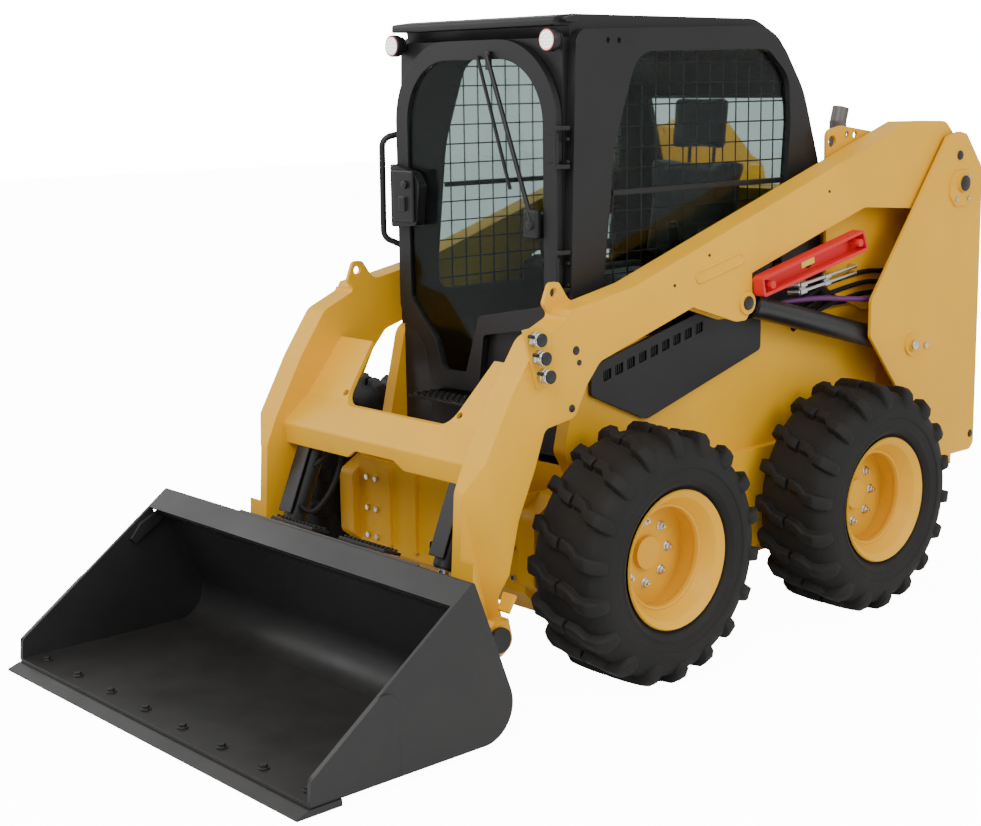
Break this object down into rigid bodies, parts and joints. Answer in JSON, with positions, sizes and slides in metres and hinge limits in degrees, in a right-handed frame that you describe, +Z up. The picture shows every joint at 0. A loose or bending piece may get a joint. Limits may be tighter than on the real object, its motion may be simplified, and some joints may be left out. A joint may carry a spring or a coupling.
{
  "type": "skid steer loader",
  "caption": "Compact wheeled skid steer loader with enclosed cab, lift arms and a front bucket that lifts and dumps.",
  "frame": {"origin": "on the ground, midway between the bucket's lip and the rear door and on the machine's centre line", "axes": "+X forward towards the bucket, +Y to the operator's left, +Z up"},
  "size_m": [3.574, 1.676, 2.1074],
  "materials": {
    "yellow_paint": "satin powder coat",
    "cab_black": "satin",
    "bucket_black": "satin",
    "tyre_rubber": "matt",
    "tinted_glass": "clear tinted",
    "seat_cover": "woven",
    "lamp_plastic": "fine grain",
    "engine_iron": "cast",
    "stack_steel": "heat dulled",
    "red_paint": "satin",
    "coupling_steel": "plated",
    "cylinder_black": "gloss",
    "rod_chrome": "polished"
  },
  "bodies": {
    "chassis": {"chassis_frame": "yellow_paint", "tower_outer_plates": "yellow_paint", "tower_inner_plates": "yellow_paint", "engine_block": "engine_iron", "side_panels": "cab_black", "cab_side_left": "cab_black", "cab_side_right": "cab_black", "cab_roof": "cab_black", "cab_rear_wall": "cab_black", "cab_front_frame": "cab_black", "cab_floor": "cab_black", "cab_windows": "tinted_glass", "seat": "seat_cover", "work_lamps": "lamp_plastic", "grab_handle": "cab_black"},
    "hood": {"hood": "yellow_paint", "exhaust_stack": "stack_steel"},
    "rear_door": {"rear_door": "yellow_paint"},
    "cab_door": {"cab_door": "cab_black", "door_glass": "tinted_glass"},
    "arms": {"lift_arm_left": "yellow_paint", "lift_arm_right": "yellow_paint", "arm_crossmember": "yellow_paint", "arm_lock_brace": "red_paint", "quick_couplings": "coupling_steel"},
    "bucket": {"bucket_coupler": "bucket_black", "bucket": "bucket_black", "cutting_edge": "bucket_black"},
    "lift_barrel_left": {"lift_cylinder_barrel_left": "cylinder_black"},
    "lift_rod_left": {"lift_cylinder_rod_left": "rod_chrome"},
    "tilt_barrel_left": {"tilt_cylinder_barrel_left": "cylinder_black"},
    "tilt_rod_left": {"tilt_cylinder_rod_left": "rod_chrome"},
    "wheel_front_left": {"tyre_front_left": "tyre_rubber", "rim_front_left": "yellow_paint"},
    "wheel_rear_left": {"tyre_rear_left": "tyre_rubber", "rim_rear_left": "yellow_paint"},
    "lift_barrel_right": {"lift_cylinder_barrel_right": "cylinder_black"},
    "lift_rod_right": {"lift_cylinder_rod_right": "rod_chrome"},
    "tilt_barrel_right": {"tilt_cylinder_barrel_right": "cylinder_black"},
    "tilt_rod_right": {"tilt_cylinder_rod_right": "rod_chrome"},
    "wheel_front_right": {"tyre_front_right": "tyre_rubber", "rim_front_right": "yellow_paint"},
    "wheel_rear_right": {"tyre_rear_right": "tyre_rubber", "rim_rear_right": "yellow_paint"}
  },
  "joints": [
    {"name": "arm_lift", "type": "hinge", "parent": "chassis", "child": "arms", "pos_m": [-1.533, 0, 1.496], "axis": [0, -1, 0], "range_deg": [0, 64.7]},
    {"name": "bucket_tilt", "type": "hinge", "parent": "arms", "child": "bucket", "pos_m": [0.862, 0, 0.233], "axis": [0, 1, 0], "range_deg": [-27, 104.7]},
    {"name": "cab_door_swing", "type": "hinge", "parent": "chassis", "child": "cab_door", "pos_m": [0.419, 0.405, 1.45], "axis": [0, 0, 1], "range_deg": [0, 85]},
    {"name": "rear_door_swing", "type": "hinge", "parent": "chassis", "child": "rear_door", "pos_m": [-1.761, 0.452, 0.9], "axis": [0, 0, -1], "range_deg": [0, 100]},
    {"name": "hood_tilt", "type": "hinge", "parent": "chassis", "child": "hood", "pos_m": [-0.953, 0, 1.48], "axis": [0, 1, 0], "range_deg": [0, 50]},
    {"name": "lift_barrel_swing_left", "type": "hinge", "parent": "chassis", "child": "lift_barrel_left", "pos_m": [-1.235, 0.543, 0.907], "axis": [0, -1, 0], "range_deg": [-1, 58]},
    {"name": "lift_rod_slide_left", "type": "slide", "parent": "lift_barrel_left", "child": "lift_rod_left", "axis": [0.9673, 0, 0.2537], "range_m": [-0.005, 0.69]},
    {"name": "tilt_barrel_swing_left", "type": "hinge", "parent": "arms", "child": "tilt_barrel_left", "pos_m": [0.769, 0.4, 0.757], "axis": [0, 1, 0], "range_deg": [-4, 4]},
    {"name": "tilt_rod_slide_left", "type": "slide", "parent": "tilt_barrel_left", "child": "tilt_rod_left", "axis": [0.3893, 0, -0.9211], "range_m": [-0.052, 0.2]},
    {"name": "wheel_spin_front_left", "type": "hinge", "parent": "chassis", "child": "wheel_front_left", "pos_m": [0.302, 0.685, 0.4155], "axis": [0, 1, 0], "continuous": true},
    {"name": "wheel_spin_rear_left", "type": "hinge", "parent": "chassis", "child": "wheel_rear_left", "pos_m": [-0.803, 0.685, 0.4155], "axis": [0, 1, 0], "continuous": true},
    {"name": "lift_barrel_swing_right", "type": "hinge", "parent": "chassis", "child": "lift_barrel_right", "pos_m": [-1.235, -0.543, 0.907], "axis": [0, -1, 0], "range_deg": [-1, 58]},
    {"name": "lift_rod_slide_right", "type": "slide", "parent": "lift_barrel_right", "child": "lift_rod_right", "axis": [0.9673, 0, 0.2537], "range_m": [-0.005, 0.69]},
    {"name": "tilt_barrel_swing_right", "type": "hinge", "parent": "arms", "child": "tilt_barrel_right", "pos_m": [0.769, -0.4, 0.757], "axis": [0, 1, 0], "range_deg": [-4, 4]},
    {"name": "tilt_rod_slide_right", "type": "slide", "parent": "tilt_barrel_right", "child": "tilt_rod_right", "axis": [0.3893, 0, -0.9211], "range_m": [-0.052, 0.2]},
    {"name": "wheel_spin_front_right", "type": "hinge", "parent": "chassis", "child": "wheel_front_right", "pos_m": [0.302, -0.685, 0.4155], "axis": [0, 1, 0], "continuous": true},
    {"name": "wheel_spin_rear_right", "type": "hinge", "parent": "chassis", "child": "wheel_rear_right", "pos_m": [-0.803, -0.685, 0.4155], "axis": [0, 1, 0], "continuous": true}
  ],
  "couplings": [
    {"joint": "lift_barrel_swing_left", "follows": "arm_lift", "ratio": 0.86861},
    {"joint": "lift_rod_slide_left", "follows": "arm_lift", "m_per_rad": 0.60313},
    {"joint": "tilt_barrel_swing_left", "follows": "bucket_tilt", "ratio": -0.02},
    {"joint": "tilt_rod_slide_left", "follows": "bucket_tilt", "m_per_rad": 0.108},
    {"joint": "lift_barrel_swing_right", "follows": "arm_lift", "ratio": 0.86861},
    {"joint": "lift_rod_slide_right", "follows": "arm_lift", "m_per_rad": 0.60313},
    {"joint": "tilt_barrel_swing_right", "follows": "bucket_tilt", "ratio": -0.02},
    {"joint": "tilt_rod_slide_right", "follows": "bucket_tilt", "m_per_rad": 0.108}
  ]
}
